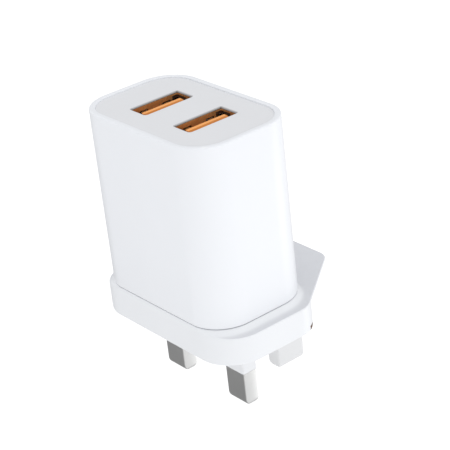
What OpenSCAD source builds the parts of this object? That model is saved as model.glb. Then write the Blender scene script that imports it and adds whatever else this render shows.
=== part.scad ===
// Two-port USB wall charger with a three-pin British plug.
//
// The origin is on the plug face, at the middle of the pin pattern. The pins
// point down (-Z) and the USB ports open upwards (+Z). The live pin is at +X,
// the neutral pin at -X and the plastic earth pin at +Y. All sizes are in mm.

/* [Node] */
// Which piece to draw, or all of them

/* [Body] */
// Width of the upper body along X
body_width = 42.6; // [38:0.2:47]
// Depth of the upper body along Y
body_depth = 27.4; // [25:0.2:30]
// Y position of the middle of the body
body_y = -10.3; // [-12:0.1:-8]
// Radius of the body's upright corners
body_radius = 8.5; // [5:0.5:11]
// Height of the rim above the plug face
total_height = 50; // [46:0.5:60]
// Wall thickness of the upper body
body_wall = 2; // [1.6:0.1:2.6]
// Width of the rim round the port panel
rim_width = 1.4; // [1:0.1:1.8]
// How far the port panel lies below the rim
panel_recess = 0.3; // [0:0.1:1]
// Thickness of the port panel
panel_thickness = 1.6; // [1.2:0.1:2.5]

/* [Base] */
// Width of the base along X
base_width = 48; // [46:0.5:52]
// Height of the flange round the base
flange_height = 6.5; // [6.5:0.1:10]
// Corner radius at the front of the base
base_front_radius = 9; // [6:0.5:11]
// Corner radius behind the body
base_back_radius = 6.3; // [4:0.1:8]
// Y position of the wing's back edge
wing_back = 18.2; // [17.5:0.1:24]
// Corner radius of the wing
wing_radius = 4; // [2:0.5:6]
// X position of the wing's corner centres
wing_corner_x = 7.4; // [5:0.1:12]
// How far the wing's slanted sides lean in below, in degrees
wing_undercut = 30; // [0:1:35]
// Radius of the hollow curve between flange and collar
cove_radius = 2.6; // [2.4:0.1:3]
// How far the hollow curve reaches out from the body
cove_reach = 2.3; // [1:0.1:2.3]
// Thickness of the base's walls and floor
base_wall = 2.2; // [1.8:0.1:3]
// Gap between the collar and the upper body
seam_gap = 0.2; // [0.1:0.05:0.4]

/* [Pins] */
// Distance between the live and neutral pins
pin_spacing = 22.2; // [22.2:0.1:22.4]
// Distance from the live and neutral line to the earth pin
earth_spacing = 22.2; // [22.2:0.1:22.4]
// Width of a live or neutral pin
pin_width = 6.35; // [6.2:0.01:6.5]
// Thickness of the pins
pin_thickness = 3.95; // [3.9:0.01:4.05]
// Length of the live and neutral pins
pin_length = 17.7; // [17.2:0.1:18.2]
// Length of the insulating sleeves below the plug face
sleeve_length = 9.2; // [8:0.1:9.5]
// Depth of the earth pin along Y
earth_width = 7.95; // [7.8:0.01:8.05]
// Length of the earth pin
earth_length = 22.7; // [22.2:0.1:23.2]

/* [USB ports] */
// Distance between the middles of the two ports
port_pitch = 15.1; // [13:0.1:18]
// Long side of a port's opening
port_length = 12.5; // [12.4:0.01:12.6]
// Short side of a port's opening
port_width = 5.12; // [5:0.01:5.2]
// Wall thickness of a port's metal shell
shell_wall = 0.3; // [0.25:0.01:0.4]
// Thickness of a port's tongue
tongue_thickness = 1.84; // [1.8:0.01:1.9]
// Width of a port's tongue
tongue_width = 10.5; // [10:0.1:11.2]
// How far the tongue stands off the port's middle towards -Y
tongue_shift = 0.35; // [0:0.05:0.4]
// How far the tongue's tip lies below the panel
tongue_recess = 0.5; // [0.4:0.1:2]
// How far the metal shell's mouth lies below the panel
mouth_recess = 0.35; // [0.3:0.05:1]

/* [Circuit] */
// Thickness of the main board
board_thickness = 1.6; // [1:0.1:2]
// Height of the main board's lower edge
board_bottom = 8.6; // [8.6:0.1:10]
// Height of the main board's upper edge
board_top = 31; // [28:0.1:31.2]
// Width of the transformer's core
core_width = 16; // [14:0.5:16]
// Height of the transformer's core
core_height = 14; // [12:0.5:14]
// Thickness of the transformer's core
core_depth = 5.5; // [5:0.1:6]
// Diameter of an input capacitor
input_cap_diameter = 8; // [6:0.5:8]
// Diameter of an output capacitor
output_cap_diameter = 6.3; // [5:0.1:6.3]

/* [Hidden] */
$fn = 64;
body_front = body_y - body_depth / 2;
body_back = body_y + body_depth / 2;
panel_top = total_height - panel_recess;
panel_bottom = panel_top - panel_thickness;
collar_top = flange_height + cove_radius - sqrt(pow(cove_radius, 2) - pow(cove_reach, 2));
body_bottom = collar_top + seam_gap;
pin_y = -earth_spacing / 2;
pin_x = pin_spacing / 2;
// The slanted side touches the corner circles of the block and of the wing.
block_corner = [base_width / 2 - base_back_radius, body_back - base_back_radius];
wing_corner = [wing_corner_x, wing_back - wing_radius];
corner_step = block_corner - wing_corner;
slant = acos((wing_radius - base_back_radius) / norm(corner_step)) + atan2(corner_step[1], corner_step[0]);
slant_out = [cos(slant), sin(slant)];
board_y = body_front + 4.6;
board_face = board_y + board_thickness;
port_board_z = 31.6;
port_board_top = port_board_z + 1.2;
shell_bottom = port_board_top + 0.4;
tongue_x = port_width / 2 - 0.66 - tongue_thickness;
tongue_tip = panel_top - tongue_recess;
shell_mouth = panel_top - mouth_recess;
contact_ys = [-3.5, -1, 1, 3.5];
core_x = 1.5;
core_y = board_face + 7.3;
core_z = 19;
core_back = 2.5;
core_leg = 2.2;
core_middle = 4.2;
bobbin_height = core_height - 2 * core_back - 0.2;
link_xs = [-6.35, -3.81, -1.27, 1.27, 3.81, 6.35];

// ---- shared shapes ----

// A rectangle with round corners, drawn from squares and circles.
module rounded_rect(w, d, r) {
    square([w - 2 * r, d], center = true);
    square([w, d - 2 * r], center = true);
    for (x = [-1, 1], y = [-1, 1])
        translate([x * (w / 2 - r), y * (d / 2 - r)])
            circle(r);
}

// An upright rounded block between two heights.
module rounded_block(w, d, r, z0, z1) {
    translate([0, 0, z0])
        linear_extrude(z1 - z0)
            rounded_rect(w, d, r);
}

// A box centred in X and Y between two heights.
module bar(w, d, z0, z1) {
    translate([-w / 2, -d / 2, z0])
        cube([w, d, z1 - z0]);
}

// A box from its lowest corner to its highest corner.
module box(from, to) {
    translate(from)
        cube(to - from);
}

// A square ring between two heights.
module square_ring(w, d, inner_w, inner_d, z0, z1) {
    difference() {
        bar(w, d, z0, z1);
        bar(inner_w, inner_d, z0 - 1, z1 + 1);
    }
}

// A cylinder along Y that stands on the main board.
module on_board(x, z, d, length) {
    translate([x, board_face, z])
        rotate([-90, 0, 0])
            cylinder(d = d, h = length);
}

// ---- housing ----

// The base under the body, with its two kinds of corner.
module block_outline() {
    r1 = base_front_radius;
    r2 = base_back_radius;
    half = base_width / 2;
    translate([-half, body_front + r1])
        square([base_width, body_depth - r1 - r2]);
    translate([-half + r1, body_front])
        square([base_width - 2 * r1, body_depth / 2]);
    translate([-half + r2, body_back - r2 - 1])
        square([base_width - 2 * r2, r2 + 1]);
    for (s = [-1, 1]) {
        translate([s * (half - r1), body_front + r1])
            circle(r1);
        translate([s * (half - r2), body_back - r2])
            circle(r2);
    }
}

// The part of the plate that carries the earth pin.
module wing_outline() {
    a = block_corner + base_back_radius * slant_out;
    b = wing_corner + wing_radius * slant_out;
    c = [wing_corner[0], wing_back];
    polygon([
        [a[0], a[1]], [b[0], b[1]], c, [-c[0], c[1]], [-b[0], b[1]], [-a[0], a[1]],
        [-block_corner[0], -8], [block_corner[0], -8]
    ]);
    for (s = [-1, 1])
        translate([s * wing_corner[0], wing_corner[1]])
            circle(wing_radius);
}

// The wing leans in towards the plug face on its slanted sides and its back.
module wing_solid() {
    lip = flange_height - 0.25;
    difference() {
        linear_extrude(flange_height)
            wing_outline();
        for (s = [0, 1])
            mirror([s, 0, 0])
                translate([wing_corner[0], wing_corner[1], lip])
                    rotate([0, 0, slant])
                        translate([wing_radius, 0, 0])
                            rotate([0, wing_undercut, 0])
                                translate([0, -40, -20])
                                    cube([20, 80, 20]);
        translate([0, wing_back, lip])
            rotate([-wing_undercut / 2, 0, 0])
                translate([-30, 0, -20])
                    cube([60, 20, 20]);
    }
}

// The hollow curve's section: it rises from the flange to the collar's edge.
module cove_section() {
    difference() {
        translate([-1, 0])
            square([cove_reach + 1, collar_top - flange_height]);
        translate([cove_reach, cove_radius])
            circle(cove_radius);
    }
}

// The curve swept round the body's outline.
module cove_ring() {
    w = body_width / 2 - body_radius;
    d = body_depth / 2 - body_radius;
    translate([0, body_y, flange_height])
        for (s = [-1, 1]) {
            translate([s * (w + body_radius), d, 0])
                rotate([90, 0, 0])
                    linear_extrude(2 * d)
                        mirror([s < 0 ? 1 : 0, 0])
                            cove_section();
            translate([-w, s * (d + body_radius), 0])
                rotate([90, 0, 90])
                    linear_extrude(2 * w)
                        mirror([s < 0 ? 1 : 0, 0])
                            cove_section();
            for (t = [-1, 1])
                translate([s * w, t * d, 0])
                    rotate([0, 0, atan2(t, s) - 45])
                        rotate_extrude(angle = 90)
                            translate([body_radius, 0])
                                cove_section();
        }
}

module base_housing() {
    color([0.92, 0.93, 0.95])
        difference() {
            union() {
                linear_extrude(flange_height)
                    block_outline();
                wing_solid();
                intersection() {
                    union() {
                        cove_ring();
                        translate([0, body_y, 0])
                            rounded_block(body_width, body_depth, body_radius, flange_height - 1, collar_top);
                    }
                    linear_extrude(collar_top + 1)
                        union() {
                            block_outline();
                            wing_outline();
                        }
                }
            }
            translate([0, body_y, 0])
                rounded_block(
                    body_width - 2 * base_wall, body_depth - 2 * base_wall,
                    body_radius - base_wall, base_wall, collar_top + 1
                );
            for (s = [-1, 1])
                translate([s * pin_x, pin_y, 0])
                    rounded_block(pin_width, pin_thickness, 0.4, -1, base_wall + 1);
            translate([0, -pin_y, 0])
                rounded_block(pin_thickness, earth_width, 0.4, -1, flange_height - 1.5);
            latch_window();
        }
}

// The place of the latch in the corner behind the live pin.
module at_latch() {
    translate([block_corner[0], block_corner[1], 0])
        rotate([0, 0, 37])
            children();
}

module latch_window() {
    at_latch()
        translate([base_back_radius - 1.2, -1.3, -1])
            cube([2, 2.6, 2.1]);
}

module latch_tab() {
    color([0.62, 0.36, 0.16])
        at_latch()
            translate([base_back_radius - 1.2, -1.3, 0])
                cube([0.9, 2.6, 1.1]);
}

module upper_housing() {
    spigot = 2 * base_wall + 0.2;
    inner_w = body_width - 2 * body_wall;
    inner_d = body_depth - 2 * body_wall;
    inner_r = body_radius - body_wall;
    color([0.95, 0.96, 0.98])
        translate([0, body_y, 0]) {
            difference() {
                union() {
                    rounded_block(body_width, body_depth, body_radius, body_bottom, total_height);
                    rounded_block(
                        body_width - spigot, body_depth - spigot,
                        body_radius - spigot / 2, body_bottom - 2, body_bottom + 1
                    );
                }
                rounded_block(
                    body_width - spigot - 2, body_depth - spigot - 2,
                    body_radius - spigot / 2 - 1, body_bottom - 3, body_bottom + 1
                );
                rounded_block(inner_w, inner_d, inner_r, body_bottom + 1, total_height + 1);
                rounded_block(
                    body_width - 2 * rim_width, body_depth - 2 * rim_width,
                    body_radius - rim_width, panel_bottom, total_height + 1
                );
            }
            board_rails(inner_w);
            shelf_blocks(inner_w);
        }
}

// Two ribs on each side wall hold the main board's edges.
module board_rails(inner_w) {
    for (s = [-1, 1], y = [board_y - 1.2, board_face + 0.2])
        translate([s > 0 ? inner_w / 2 - 1.7 : -inner_w / 2 - 0.3, y - body_y, 11])
            cube([2, 1, 19]);
}

// Two blocks on each side wall carry the port board.
module shelf_blocks(inner_w) {
    for (s = [-1, 1], y = [-3.5, 3.5])
        translate([s > 0 ? inner_w / 2 - 1.7 : -inner_w / 2 - 0.3, y - 1.5, port_board_z - 3])
            cube([2, 3, 3]);
}

module port_panel() {
    w = body_width - 2 * rim_width - 0.1;
    d = body_depth - 2 * rim_width - 0.1;
    color([0.87, 0.88, 0.89])
        translate([0, body_y, 0])
            difference() {
                rounded_block(w, d, body_radius - rim_width - 0.05, panel_bottom, panel_top);
                for (s = [-1, 1])
                    translate([s * port_pitch / 2, 0, 0]) {
                        rounded_block(port_width, port_length, 0.6, panel_bottom - 1, panel_top + 1);
                        rounded_block(
                            port_width + 2 * shell_wall + 0.1, port_length + 2 * shell_wall + 0.1, 0.7,
                            panel_bottom - 1, shell_mouth + 0.05
                        );
                    }
            }
}

// ---- mains pins ----

// A pin's end: round across its thickness, with soft corners across its width.
module pin_tip(w, d, length, corner, z1) {
    intersection() {
        rounded_block(w, d, 0.4, -length, z1);
        translate([-w / 2 - 1, 0, 0])
            rotate([90, 0, 90])
                linear_extrude(w + 2)
                    union() {
                        translate([0, -length + d / 2])
                            circle(d / 2);
                        translate([-d / 2, -length + d / 2])
                            square([d, length + z1]);
                    }
        translate([0, d / 2 + 1, 0])
            rotate([90, 0, 0])
                linear_extrude(d + 2)
                    union() {
                        for (s = [-1, 1])
                            translate([s * (w / 2 - corner), -length + corner])
                                circle(corner);
                        translate([-w / 2 + corner, -length])
                            square([w - 2 * corner, length + z1]);
                        translate([-w / 2, -length + corner])
                            square([w, length + z1]);
                    }
    }
}

// A brass blade with a thin neck for the sleeve, a head and a solder stub.
module mains_pin() {
    pin_tip(pin_width, pin_thickness, pin_length, 1.2, -sleeve_length);
    bar(pin_width - 1, pin_thickness - 1, -sleeve_length - 0.5, base_wall + 0.5);
    bar(pin_width + 2, pin_thickness + 2, base_wall, base_wall + 1.2);
    bar(4, 1.5, base_wall + 1, base_wall + 3.8);
}

module live_pin() {
    color([0.8, 0.78, 0.74])
        translate([pin_x, pin_y, 0])
            mains_pin();
}

module neutral_pin() {
    color([0.8, 0.78, 0.74])
        translate([-pin_x, pin_y, 0])
            mains_pin();
}

module pin_sleeve() {
    difference() {
        rounded_block(pin_width, pin_thickness, 0.4, -sleeve_length, base_wall);
        bar(pin_width - 1, pin_thickness - 1, -sleeve_length - 1, base_wall + 1);
    }
}

module live_pin_sleeve() {
    color([0.85, 0.86, 0.88])
        translate([pin_x, pin_y, 0])
            pin_sleeve();
}

module neutral_pin_sleeve() {
    color([0.85, 0.86, 0.88])
        translate([-pin_x, pin_y, 0])
            pin_sleeve();
}

module earth_pin() {
    color([0.86, 0.87, 0.88])
        translate([0, -pin_y, 0])
            rotate([0, 0, 90])
                pin_tip(earth_width, pin_thickness, earth_length, 1.6, flange_height - 1.5);
}

// The plate that holds the pin heads down, with slots for the stubs.
module pin_clamp() {
    z0 = base_wall + 1.2;
    color([0.25, 0.25, 0.27])
        translate([0, pin_y, 0])
            difference() {
                rounded_block(34, 9, 1.5, z0, z0 + 1.6);
                for (s = [-1, 1])
                    translate([s * pin_x, 0, 0])
                        bar(4.1, 1.6, z0 - 1, z0 + 3);
            }
}

// A bent strip from a pin's stub to the main board.
module contact_strip() {
    z0 = base_wall + 3.8;
    translate([-2.5, 0, 0]) {
        box([0, board_face, z0], [5, pin_y + 2, z0 + 0.4]);
        box([0, board_face, z0], [5, board_face + 0.4, 9.8]);
    }
}

module live_contact() {
    color([0.78, 0.6, 0.3])
        translate([pin_x, 0, 0])
            contact_strip();
}

module neutral_contact() {
    color([0.78, 0.6, 0.3])
        translate([-pin_x, 0, 0])
            contact_strip();
}

// ---- boards ----

module main_board() {
    color([0.1, 0.35, 0.2])
        difference() {
            box([-18.4, board_y, board_bottom], [18.4, board_face, board_top]);
            transformer_pin_rows(0.9);
            varistor_leads(0.8);
        }
}

module port_board() {
    color([0.1, 0.35, 0.2])
        difference() {
            translate([0, body_y, 0])
                rounded_block(body_width - 5.4, body_depth - 5.2, 5.5, port_board_z, port_board_top);
            for (x = link_xs)
                box([x - 0.4, board_face - 0.1, 30], [x + 0.4, board_face + 0.7, 34]);
            for (s = [-1, 1])
                translate([s * port_pitch / 2, body_y, 0]) {
                    for (y = contact_ys)
                        box([tongue_x - 0.4, y - tongue_shift - 0.6, 30], [tongue_x + 0.1, y - tongue_shift + 0.6, 34]);
                    for (t = [-1, 1])
                        translate([0, t * (port_length / 2 + shell_wall / 2), 0])
                            bar(1.8, 0.5, 30, 34);
                }
        }
}

// Square posts that join the two boards.
module link_pins() {
    color([0.85, 0.7, 0.35])
        for (x = link_xs)
            box([x - 0.3, board_face, 27], [x + 0.3, board_face + 0.6, 34.5]);
}

// ---- USB ports ----

// The metal shell, whose mouth lines the panel's slot, with four spring
// fingers, a window in one corner and two solder legs.
module usb_shell() {
    outer_w = port_width + 2 * shell_wall;
    outer_l = port_length + 2 * shell_wall;
    difference() {
        union() {
            rounded_block(outer_w, outer_l, 0.7, shell_bottom, shell_mouth);
            for (t = [-1, 1])
                translate([0, t * (port_length / 2 + shell_wall / 2), 0])
                    bar(1.6, shell_wall, port_board_z - 0.6, shell_bottom + 1);
        }
        rounded_block(port_width, port_length, 0.4, shell_bottom - 1, panel_top);
        for (s = [-1, 1], y = [-3.1, 3.1])
            translate([s * (outer_w / 2 - shell_wall / 2), y, 0])
                finger_slot();
        box([-outer_w / 2 - 1, port_length / 2 - 1.45, shell_mouth - 4.4], [0.45, outer_l / 2 + 1, shell_mouth - 0.4]);
    }
}

// The cut round one spring finger, which stays joined at its lower end.
module finger_slot() {
    difference() {
        bar(1, 2.3, shell_mouth - 8, shell_mouth - 1);
        bar(2, 1.5, shell_mouth - 9, shell_mouth - 1.3);
    }
}

// The plastic block at the back of the port and the tongue that stands on it.
module usb_insulator() {
    difference() {
        union() {
            rounded_block(port_width, port_length, 0.4, shell_bottom, shell_bottom + 5);
            translate([tongue_x + tongue_thickness / 2, -tongue_shift, 0])
                bar(tongue_thickness, tongue_width, shell_bottom + 4, tongue_tip);
        }
        for (y = contact_ys)
            box(
                [tongue_x - 0.25, y - tongue_shift - 0.55, shell_bottom - 1],
                [tongue_x, y - tongue_shift + 0.55, shell_bottom + 6]
            );
    }
}

// The four contacts on the tongue's broad side.
module usb_contacts() {
    for (y = contact_ys)
        box(
            [tongue_x - 0.25, y - tongue_shift - 0.5, port_board_z - 0.6],
            [tongue_x, y - tongue_shift + 0.5, tongue_tip - 1.2]
        );
}

// Moves a port's pieces to the first port (-1) or the second port (1).
module at_port(side) {
    translate([side * port_pitch / 2, body_y, 0])
        children();
}

module usb_shell_1() {
    color([0.58, 0.38, 0.21])
        at_port(-1)
            usb_shell();
}

module usb_shell_2() {
    color([0.58, 0.38, 0.21])
        at_port(1)
            usb_shell();
}

module usb_insulator_1() {
    color([0.9, 0.52, 0.24])
        at_port(-1)
            usb_insulator();
}

module usb_insulator_2() {
    color([0.9, 0.52, 0.24])
        at_port(1)
            usb_insulator();
}

module usb_contacts_1() {
    color([0.85, 0.7, 0.35])
        at_port(-1)
            usb_contacts();
}

module usb_contacts_2() {
    color([0.85, 0.7, 0.35])
        at_port(1)
            usb_contacts();
}

// ---- transformer ----

module at_core() {
    translate([core_x, core_y, core_z])
        children();
}

// One E-shaped half of the core, drawn above the joint.
module core_half() {
    h = core_height / 2;
    window = (core_width - 2 * core_leg - core_middle) / 2;
    difference() {
        bar(core_width, core_depth, 0, h);
        for (s = [-1, 1])
            translate([s * (core_middle + window) / 2, 0, 0])
                bar(window, core_depth + 2, -1, h - core_back);
    }
}

module core_upper() {
    color([0.2, 0.2, 0.22])
        at_core()
            core_half();
}

module core_lower() {
    color([0.2, 0.2, 0.22])
        at_core()
            mirror([0, 0, 1])
                core_half();
}

// The spool on the core's middle leg.
module bobbin() {
    h = bobbin_height / 2;
    color([0.15, 0.15, 0.15])
        at_core()
            difference() {
                union() {
                    bar(5.8, 7.1, -h, h);
                    bar(11.4, 13, -h, -h + 0.8);
                    bar(11.4, 13, h - 0.8, h);
                }
                bar(core_middle + 0.2, core_depth + 0.2, -h - 1, h + 1);
            }
}

module primary_winding() {
    h = bobbin_height / 2 - 0.8;
    color([0.72, 0.4, 0.2])
        at_core()
            square_ring(8.6, 10, 5.8, 7.1, -h, h);
}

module secondary_winding() {
    h = bobbin_height / 2 - 0.8;
    color([0.8, 0.5, 0.25])
        at_core()
            square_ring(10.2, 11.6, 8.6, 10, -h, h);
}

module tape_wrap() {
    h = bobbin_height / 2 - 0.8;
    color([0.9, 0.8, 0.2])
        at_core()
            square_ring(10.8, 12.2, 10.2, 11.6, -h, h);
}

// Four pins in each of two rows, from the spool's ends through the board.
module transformer_pin_rows(d) {
    h = bobbin_height / 2 - 0.4;
    for (s = [-1, 1], x = [-4.2, -1.4, 1.4, 4.2])
        translate([core_x + x, board_y - 0.8, core_z + s * h])
            rotate([-90, 0, 0])
                cylinder(d = d, h = board_thickness + 0.8 + 0.8, $fn = 24);
}

module transformer_pins() {
    color([0.8, 0.8, 0.82])
        transformer_pin_rows(0.7);
}

// ---- parts on the boards ----

module input_capacitor_1() {
    color([0.1, 0.12, 0.3])
        on_board(-13.2, 14.2, input_cap_diameter, 12);
}

module input_capacitor_2() {
    color([0.1, 0.12, 0.3])
        on_board(-13.2, 23.4, input_cap_diameter, 12);
}

module output_capacitor_1() {
    color([0.75, 0.76, 0.78])
        on_board(13.6, 13.4, output_cap_diameter, 11);
}

module output_capacitor_2() {
    color([0.75, 0.76, 0.78])
        on_board(13.6, 20.8, output_cap_diameter, 11);
}

// A resistor body lying on the board.
module fuse_resistor() {
    color([0.35, 0.55, 0.4])
        translate([-14, board_face + 1.5, 29.2])
            rotate([0, 90, 0])
                cylinder(d = 3, h = 8);
}

module safety_capacitor() {
    color([0.1, 0.35, 0.7])
        translate([3, board_face + 3.2, 27.2])
            cylinder(d = 6.4, h = 3);
}

// Two leads that pass through the main board.
module varistor_leads(d) {
    for (z = [9.4, 10.8])
        translate([0, board_y - 0.8, z])
            rotate([-90, 0, 0])
                cylinder(d = d, h = 4, $fn = 24);
}

module surge_varistor() {
    color([0.1, 0.3, 0.6])
        union() {
            translate([-1.7, board_face + 3.2, 8.8])
                rotate([0, 90, 0])
                    cylinder(d = 5.6, h = 3.4);
            varistor_leads(0.6);
        }
}

module optocoupler() {
    color([0.12, 0.12, 0.13])
        box([10.6, board_face, 25.6], [17, board_face + 3.4, 30.2]);
}

// A drum core that hangs below the port board.
module inductor_core() {
    color([0.22, 0.22, 0.24])
        translate([-8, body_back - 5.6, port_board_z - 5.2])
            union() {
                cylinder(d = 5, h = 0.8);
                cylinder(d = 2.4, h = 5.2);
                translate([0, 0, 4.4])
                    cylinder(d = 5, h = 0.8);
            }
}

module inductor_winding() {
    color([0.75, 0.42, 0.2])
        translate([-8, body_back - 5.6, port_board_z - 4.4])
            difference() {
                cylinder(d = 4.6, h = 3.6);
                translate([0, 0, -1])
                    cylinder(d = 2.4, h = 6);
            }
}

// A chip on the back of the main board.
module back_chip(x, z, w, h, t) {
    color([0.1, 0.1, 0.11])
        box([x - w / 2, board_y - t, z - h / 2], [x + w / 2, board_y, z + h / 2]);
}

module bridge_rectifier() {
    back_chip(-12, 14, 6.4, 5, 1.5);
}

module controller_chip() {
    back_chip(-4, 20.5, 5, 4, 1.5);
}

module rectifier_chip() {
    back_chip(12, 18, 5, 4, 1.5);
}

// A chip on the port board between the two ports.
module port_chip(y) {
    color([0.1, 0.1, 0.11])
        box([-1.5, y - 1.5, port_board_top], [1.5, y + 1.5, port_board_top + 1]);
}

module port_chip_1() {
    port_chip(body_y - 4);
}

module port_chip_2() {
    port_chip(body_y + 4);
}

// Small resistors and capacitors in two rows on the back of the main board.
module surface_parts() {
    color([0.7, 0.62, 0.5])
        for (x = [-14:4:14], z = [11, 28])
            box([x - 0.8, board_y - 0.6, z - 0.4], [x + 0.8, board_y, z + 0.4]);
}

module heat_spreader() {
    color([0.75, 0.76, 0.78])
        box([-13, body_back - 3.2, 12], [13, body_back - 2.2, 25]);
}

module thermal_pad() {
    color([0.55, 0.65, 0.75])
        box([-4, core_y + 6.5, 14], [7, body_back - 3.2, 24]);
}

module barrier_sheet() {
    color([0.95, 0.93, 0.85])
        box([-16.5, body_front + 2.3, 10], [16.5, body_front + 2.6, 30]);
}

// ---- show ----

upper_housing();
port_panel();
base_housing();
pin_clamp();
latch_tab();
live_pin();
neutral_pin();
live_pin_sleeve();
neutral_pin_sleeve();
earth_pin();
live_contact();
neutral_contact();
main_board();
port_board();
link_pins();
usb_shell_1();
usb_shell_2();
usb_insulator_1();
usb_insulator_2();
usb_contacts_1();
usb_contacts_2();
core_upper();
core_lower();
bobbin();
primary_winding();
secondary_winding();
tape_wrap();
transformer_pins();
input_capacitor_1();
input_capacitor_2();
output_capacitor_1();
output_capacitor_2();
fuse_resistor();
safety_capacitor();
surge_varistor();
optocoupler();
inductor_core();
inductor_winding();
bridge_rectifier();
controller_chip();
rectifier_chip();
port_chip_1();
port_chip_2();
surface_parts();
heat_spreader();
thermal_pad();
barrier_sheet();
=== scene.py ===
import math

import bmesh
import bpy
from bpy.props import FloatProperty, FloatVectorProperty, PointerProperty
from mathutils import Matrix, Vector


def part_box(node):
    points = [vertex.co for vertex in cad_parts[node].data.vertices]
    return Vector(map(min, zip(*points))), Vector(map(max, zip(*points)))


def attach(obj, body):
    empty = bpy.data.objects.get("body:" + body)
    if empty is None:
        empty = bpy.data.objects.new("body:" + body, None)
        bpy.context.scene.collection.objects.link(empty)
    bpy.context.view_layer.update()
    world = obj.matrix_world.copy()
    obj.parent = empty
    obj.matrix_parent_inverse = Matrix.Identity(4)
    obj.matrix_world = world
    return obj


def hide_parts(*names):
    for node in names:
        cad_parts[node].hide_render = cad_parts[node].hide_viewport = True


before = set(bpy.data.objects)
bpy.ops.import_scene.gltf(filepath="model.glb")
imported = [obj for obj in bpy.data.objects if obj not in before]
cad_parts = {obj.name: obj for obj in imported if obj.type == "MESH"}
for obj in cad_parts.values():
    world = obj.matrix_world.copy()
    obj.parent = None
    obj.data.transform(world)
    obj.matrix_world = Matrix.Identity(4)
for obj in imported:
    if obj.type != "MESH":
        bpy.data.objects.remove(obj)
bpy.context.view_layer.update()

bl_info = {
    "name": "USB wall charger",
    "version": (1, 0, 0),
    "blender": (4, 5, 0),
    "location": "3D View > Sidebar > Charger",
    "description": "Builds a two-port USB wall charger with a British plug",
    "category": "Add Mesh",
}

# Every length in a shape is in millimetres until settle() makes it metres.
MM = 0.001


def node_size(node, axis):
    """A CAD node's extent along one axis, in metres."""
    low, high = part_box(node)
    return round(high[axis] - low[axis], 6)


# ---------------------------------------------------------------- settings

def length(name, description, default):
    """A length setting, in metres."""
    return FloatProperty(
        name=name, description=description, default=default, min=0.0,
        unit="LENGTH", subtype="DISTANCE",
    )


def tint(name, description, default):
    """A colour setting."""
    return FloatVectorProperty(
        name=name, description=description, default=default, min=0.0, max=1.0,
        size=3, subtype="COLOR",
    )


class ChargerBody(bpy.types.PropertyGroup):
    width: length("Width", "Width of the upper body", node_size("upper_housing", 0))
    depth: length("Depth", "Depth of the upper body", node_size("upper_housing", 1))
    corner: length("Corner", "Radius of the upright corners", 0.0085)
    height: length("Height", "Height of the rim above the plug face", 0.05)
    seam: length("Seam", "Height of the body's lower edge", 0.008088)
    wall: length("Wall", "Wall thickness", 0.002)
    rim: length("Rim", "Width of the rim round the port panel", 0.0014)
    rim_round: length("Rim rounding", "Rounding of the rim's outer edge", 0.00035)


class ChargerBase(bpy.types.PropertyGroup):
    width: length("Width", "Width of the base", node_size("base_housing", 0))
    flange: length("Flange height", "Height of the flange round the base", 0.0065)
    front_corner: length("Front corner", "Radius of the front corners", 0.009)
    back_corner: length("Back corner", "Radius of the corners behind the body", 0.0063)
    wing_back: length("Wing back", "Y position of the wing's back edge", 0.0182)
    wing_corner: length("Wing corner", "Radius of the wing's corners", 0.004)
    cove_radius: length("Cove radius", "Radius of the hollow curve under the seam", 0.0026)
    cove_reach: length("Cove reach", "How far the hollow curve reaches out", 0.0023)
    edge_round: length("Edge rounding", "Rounding of the flange's edge", 0.00035)


class ChargerPins(bpy.types.PropertyGroup):
    spacing: length("Spacing", "Distance between the live and neutral pins", 0.0222)
    width: length("Width", "Width of a live or neutral pin", node_size("live_pin_sleeve", 0))
    thickness: length("Thickness", "Thickness of the pins", node_size("live_pin_sleeve", 1))
    reach: length("Length", "Length of the live and neutral pins", 0.0177)
    sleeve: length("Sleeve", "Length of the sleeves below the plug face", 0.0092)
    earth_width: length("Earth width", "Depth of the earth pin", node_size("earth_pin", 1))
    earth_reach: length("Earth length", "Length of the earth pin", 0.0227)


class ChargerPorts(bpy.types.PropertyGroup):
    pitch: length("Pitch", "Distance between the middles of the ports", 0.0151)
    width: length("Width", "Short side of an opening", 0.00512)
    length: length("Length", "Long side of an opening", 0.0125)
    lip: length("Lip", "Rounding of an opening's edge in the panel", 0.0006)
    sheet: length("Sheet", "Thickness of the metal shell", 0.0003)
    bend: length("Finger bend", "How far a spring finger leans inwards", 0.00035)


class ChargerColours(bpy.types.PropertyGroup):
    housing: tint("Housing", "Glossy white plastic of the body", (0.855, 0.872, 0.905))
    base: tint("Base", "White plastic of the base", (0.83, 0.845, 0.87))
    panel: tint("Panel", "Pale grey plastic of the port panel", (0.765, 0.771, 0.79))
    pin: tint("Pin", "Nickel-plated brass", (0.78, 0.78, 0.77))
    sleeve: tint("Sleeve", "Plastic of the pin sleeves", (0.76, 0.77, 0.79))
    earth: tint("Earth pin", "Plastic of the earth pin", (0.74, 0.745, 0.755))
    shell: tint("Port shell", "Bronze sheet of the port shells", (0.62, 0.30, 0.10))
    tongue: tint("Tongue", "Orange plastic of the tongues", (0.60, 0.20, 0.03))


SETTINGS = {
    "charger_body": ChargerBody,
    "charger_base": ChargerBase,
    "charger_pins": ChargerPins,
    "charger_ports": ChargerPorts,
    "charger_colours": ChargerColours,
}


def sizes(group_name):
    """One settings group's lengths in millimetres."""
    settings = getattr(bpy.context.scene, group_name)
    return {key: getattr(settings, key) / MM for key in type(settings).__annotations__}


# Heights and places that several pieces share, in millimetres.
BODY_Y = -10.3
PANEL_FOOT, LIP_FOOT, PANEL_TOP = 48.1, 49.4, 49.7
PORT_FOOT, PORT_MOUTH = 33.2, 49.35
BASE_FRONT, BASE_BACK, BASE_FLOOR = -24.0, 3.4, 2.2
# The latch and the sides of its slot, in degrees round the body's corner.
LATCH_TURN, LATCH_SIDES = 37, (24.67, 37.54)


# ---------------------------------------------------------------- mesh tools

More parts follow.
